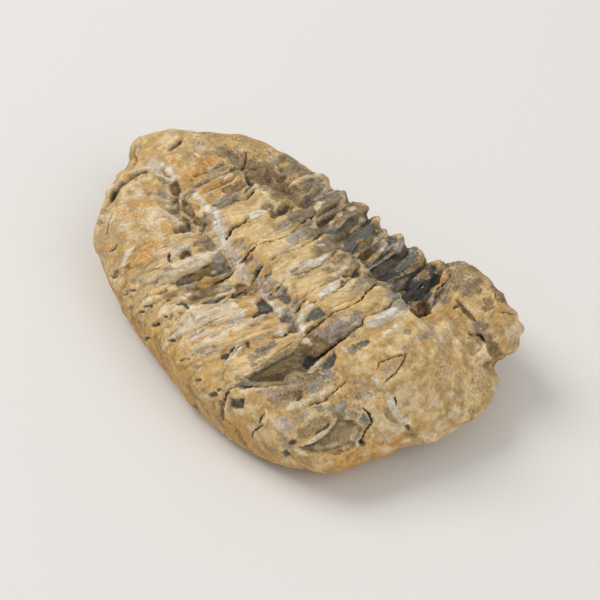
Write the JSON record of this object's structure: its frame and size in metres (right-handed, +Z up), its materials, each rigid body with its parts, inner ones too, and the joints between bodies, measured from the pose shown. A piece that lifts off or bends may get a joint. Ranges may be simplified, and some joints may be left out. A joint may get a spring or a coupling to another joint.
{
  "type": "fossil trilobite",
  "caption": "Arched fossil trilobite lying belly down: domed head, ringed thorax with swept plates and a raised axial lobe, rounded tail, flat underside to rest on.",
  "frame": {"origin": "on the resting surface, under the middle of the stone's footprint", "axes": "+X along the body from the tail to the head, +Y across it towards the side with the raised cheek and open plates, +Z up from the resting surface"},
  "size_m": [0.098, 0.0598, 0.0249],
  "materials": {
    "stone": "matte"
  },
  "bodies": {
    "root": {"trilobite_fossil": "stone"}
  },
  "joints": []
}
